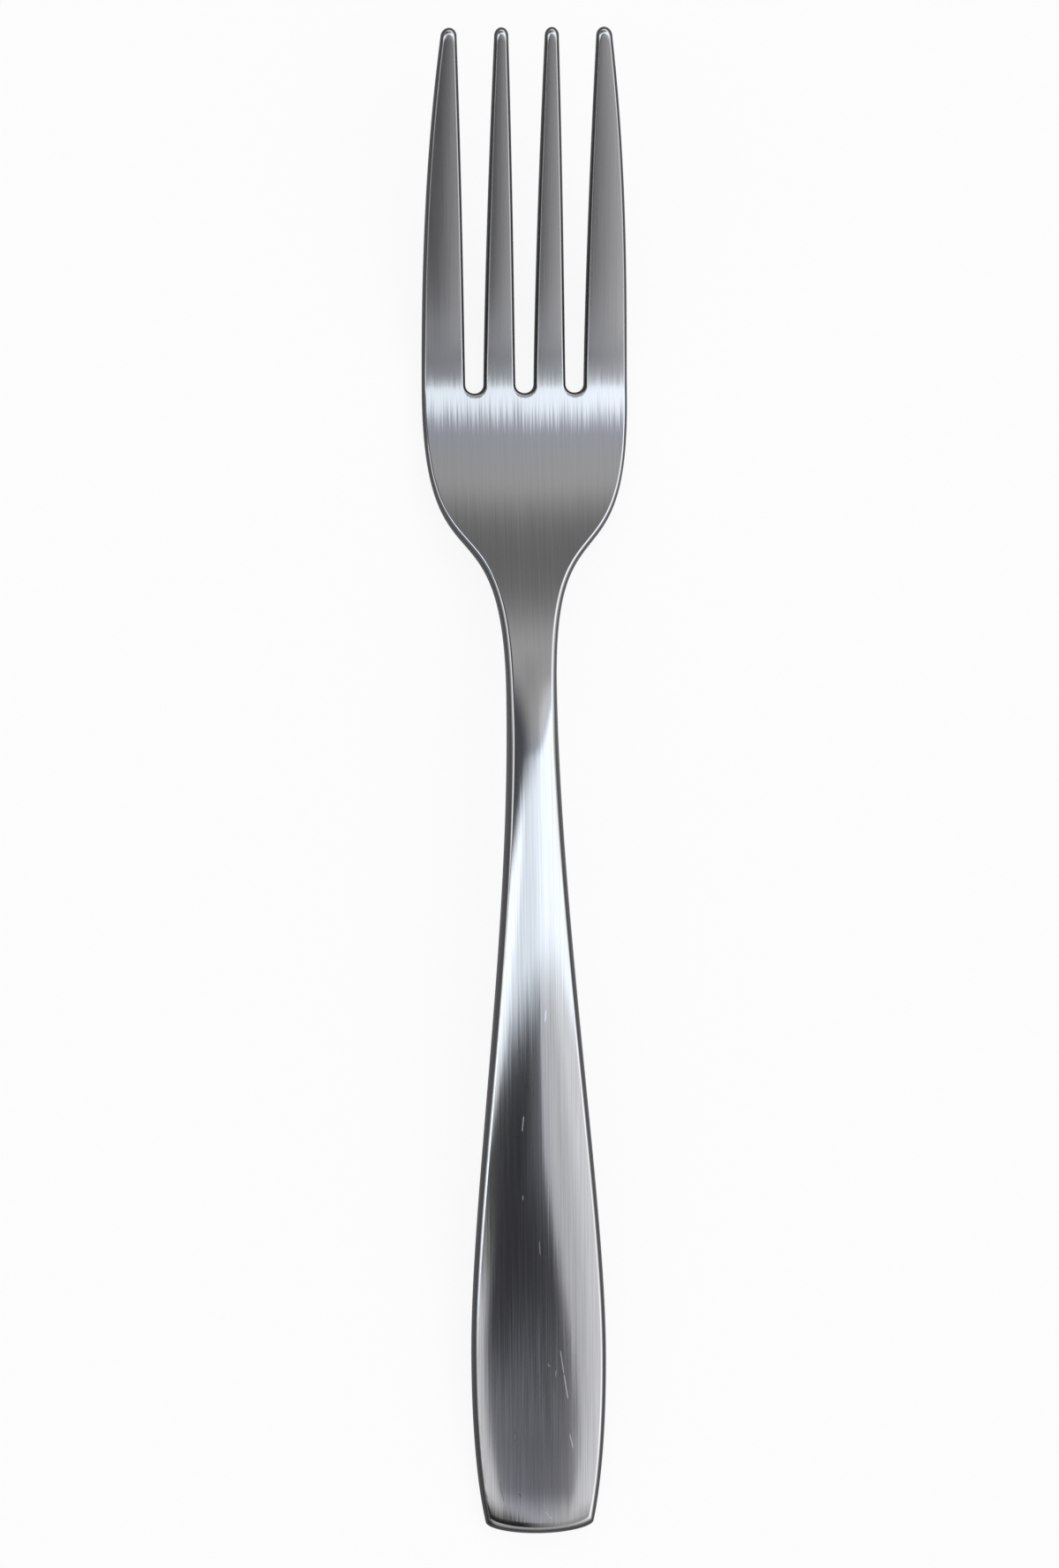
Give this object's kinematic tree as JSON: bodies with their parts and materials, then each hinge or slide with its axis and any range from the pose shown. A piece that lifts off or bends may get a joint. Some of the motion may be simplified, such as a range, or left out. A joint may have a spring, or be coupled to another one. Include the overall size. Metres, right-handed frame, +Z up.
{
  "type": "table fork",
  "caption": "Solid stainless steel table fork with a crowned tapering handle, a narrow neck, a shouldered palm and slim upturned tines, satin brushed along its length.",
  "frame": {"origin": "middle of the footprint, on the table that the fork lies on", "axes": "+Y from the handle's end to the tine tips, +X to the right seen from above with the tips away, +Z up from the table"},
  "size_m": [0.0274, 0.1998, 0.0135],
  "materials": {
    "brushed_steel": "satin, brushed along the length, with the edges polished smoother"
  },
  "bodies": {
    "root": {"fork": "brushed_steel"}
  },
  "joints": []
}
